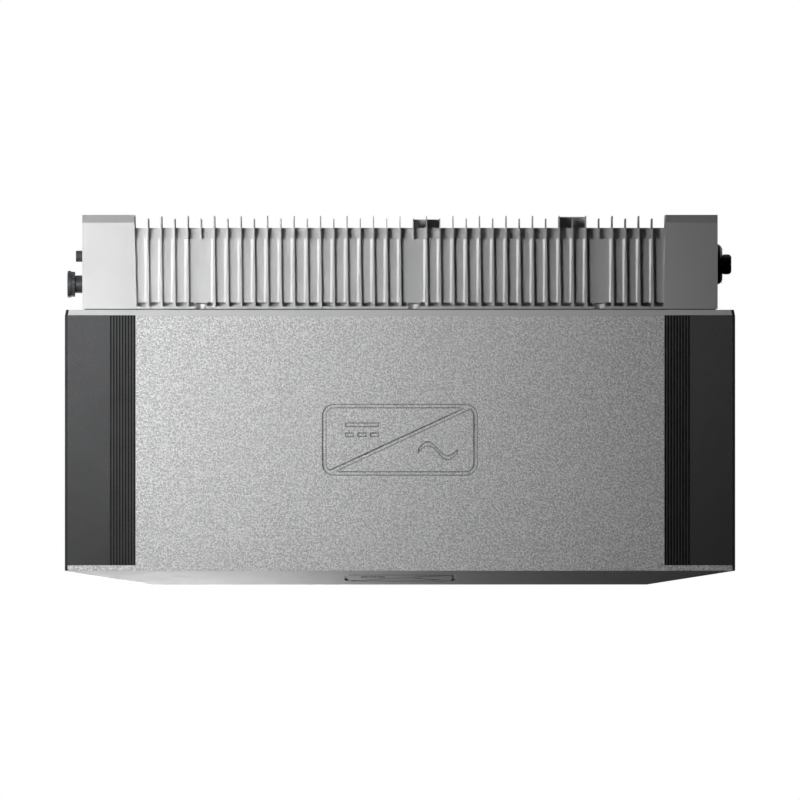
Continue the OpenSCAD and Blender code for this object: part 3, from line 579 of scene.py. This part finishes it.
def cap_rings():
    """Raised rings on the port cap's end."""
    proud, thick = 0.25 * MM, 0.55 * MM
    points = 48
    low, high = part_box("com_port_cap")
    y, z = (low.y + high.y) / 2, (low.z + high.z) / 2
    shape = bmesh.new()
    for outer, inner in ((11.2, 10.2), (5.6, 4.6)):
        rims = [[(low.x - proud, y + a, z + b) for a, b in circle(radius * MM, points)]
                for radius in (outer, inner)]
        band(shape, *rims, Vector((thick, 0, 0)))
    piece("port_cap_rings", shape, "grey_plastic", "port_cap", 0.12)


def board_parts():
    """Chips and small parts on the control board's front."""
    rows, columns = 5, 9
    row_pitch, column_pitch = 17 * MM, 24.5 * MM
    left, bottom = 22 * MM, 24 * MM       # from the board's corner to the first part
    face_depth = 7 * MM                   # from the node's front to the board's own face
    sunk = 0.1 * MM
    chip, small = (5.5, 4, 1.8), (1.6, 1, 0.9)      # half width, half height, thickness
    taken_x, taken_half = -4 * MM, 32 * MM          # the tall parts in the middle
    taken_rows = (1, 2, 3)
    low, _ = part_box("control_board")
    draw = random.Random(11)
    face = low.y + face_depth
    chips, smalls = bmesh.new(), bmesh.new()
    for row in range(rows):
        for column in range(columns):
            x = low.x + left + column_pitch * column
            z = low.z + bottom + row_pitch * row
            if abs(x - taken_x) < taken_half and row in taken_rows:
                continue
            big = draw.random() < 0.3
            width, height, tall = chip if big else small
            foot = [(x + a, z + b) for a, b in rectangle(width * MM, height * MM)]
            loft(chips if big else smalls, [(a, face + sunk, b) for a, b in foot],
                 [(a, face - tall * MM, b) for a, b in foot])
    piece("control_chips", chips, "module_case", "casing", 0.25)
    piece("control_small_parts", smalls, "film_case", "casing", 0.2)


housing_ribs()
connector_grips()
isolator_pointer()
isolator_grip_ribs()
isolator_ticks()
cap_rings()
board_parts()

# ---------------------------------------------------------------- stage and light

FLOOR_DROP = 0.45         # from the unit's underside to the floor
FLOOR_RADIUS = 12.0
FLOOR_GLOW = 0.55


def make_floor():
    """A pale floor that lights itself evenly. It throws no light on the unit."""
    mesh = bpy.data.meshes.new("floor")
    shape = bmesh.new()
    bmesh.ops.create_circle(shape, cap_ends=True, segments=96, radius=FLOOR_RADIUS)
    shape.to_mesh(mesh)
    shape.free()
    floor = bpy.data.objects.new("floor", mesh)
    scene.collection.objects.link(floor)
    floor.location.z = cad_low.z - FLOOR_DROP
    floor.visible_diffuse = False
    floor.visible_glossy = False
    pale = (0.5, 0.5, 0.5)
    s = Shader("pale_floor", pale, 0.8, Emission_Color=(1, 1, 1, 1), Emission_Strength=FLOOR_GLOW)
    mesh.materials.append(s.done(s.mix(s.noise(3, 3.0), pale, shade(pale, 0.96))))


def lamp(name, place, aim=(0, 0, 0), size=1.0, height=None, watts=1.0, spread=180):
    """An area light at place, turned to face aim. Its body doesn't show in the view.

    A small spread, in degrees, makes its beam narrow, so that it falls off to the sides."""
    data = bpy.data.lights.new(name, "AREA")
    data.shape = "RECTANGLE"
    data.size = size
    data.size_y = height or size
    data.energy = watts
    data.spread = math.radians(spread)
    light = bpy.data.objects.new(name, data)
    scene.collection.objects.link(light)
    light.location = place
    turn = (Vector(aim) - Vector(place)).to_track_quat("-Z", "Y")
    light.rotation_euler = turn.to_euler()
    light.visible_camera = False


def make_world():
    """White where the camera sees it. Its light is dim, and comes from above and behind.

    Its strength follows Y + Z of the direction it comes from."""
    dark_at, bright_at, brightest = -0.1, 1.3, 0.12
    world = bpy.data.worlds.new("studio")
    scene.world = world
    world.use_nodes = True
    tree = world.node_tree
    tree.nodes.clear()
    output = tree.nodes.new("ShaderNodeOutputWorld")
    mix = tree.nodes.new("ShaderNodeMixShader")
    path = tree.nodes.new("ShaderNodeLightPath")
    where = tree.nodes.new("ShaderNodeTexCoord")
    parts = tree.nodes.new("ShaderNodeSeparateXYZ")
    high = tree.nodes.new("ShaderNodeMath")
    ramp = tree.nodes.new("ShaderNodeMapRange")
    dim = tree.nodes.new("ShaderNodeBackground")
    white = tree.nodes.new("ShaderNodeBackground")
    white.inputs["Strength"].default_value = 1.0
    ramp.inputs["From Min"].default_value = dark_at
    ramp.inputs["From Max"].default_value = bright_at
    ramp.inputs["To Min"].default_value = 0.0
    ramp.inputs["To Max"].default_value = brightest
    tree.links.new(where.outputs["Generated"], parts.inputs[0])
    tree.links.new(parts.outputs["Y"], high.inputs[0])
    tree.links.new(parts.outputs["Z"], high.inputs[1])
    tree.links.new(high.outputs[0], ramp.inputs["Value"])
    tree.links.new(ramp.outputs[0], dim.inputs["Strength"])
    tree.links.new(path.outputs["Is Camera Ray"], mix.inputs[0])
    tree.links.new(dim.outputs[0], mix.inputs[1])
    tree.links.new(white.outputs[0], mix.inputs[2])
    tree.links.new(mix.outputs[0], output.inputs[0])
    for node in (dim, white):
        node.inputs["Color"].default_value = (1, 1, 1, 1)


make_floor()
make_world()
front = panel_low.y
lamp("key", (-0.85, front - 1.25, 0.22), aim=(-0.45, front, 0.08), size=0.9, height=0.5,
     watts=1.79, spread=53)
lamp("side", (-2.1, front - 1.3, 0.25), aim=(0, front, 0), size=0.5, watts=19.4)
lamp("low_back", (-0.25, 0.75, -0.5), aim=(-0.25, -0.13, -0.19), size=0.3, watts=0.85, spread=90)
lamp("back_left", (-1.3, 1.6, 0.9), size=1.4, watts=8)
lamp("back_right", (1.5, 1.4, 0.5), size=1.2, watts=7)
lamp("top", (0, 0.7, 1.6), size=1.0, watts=1)
scene.view_settings.view_transform = "Standard"
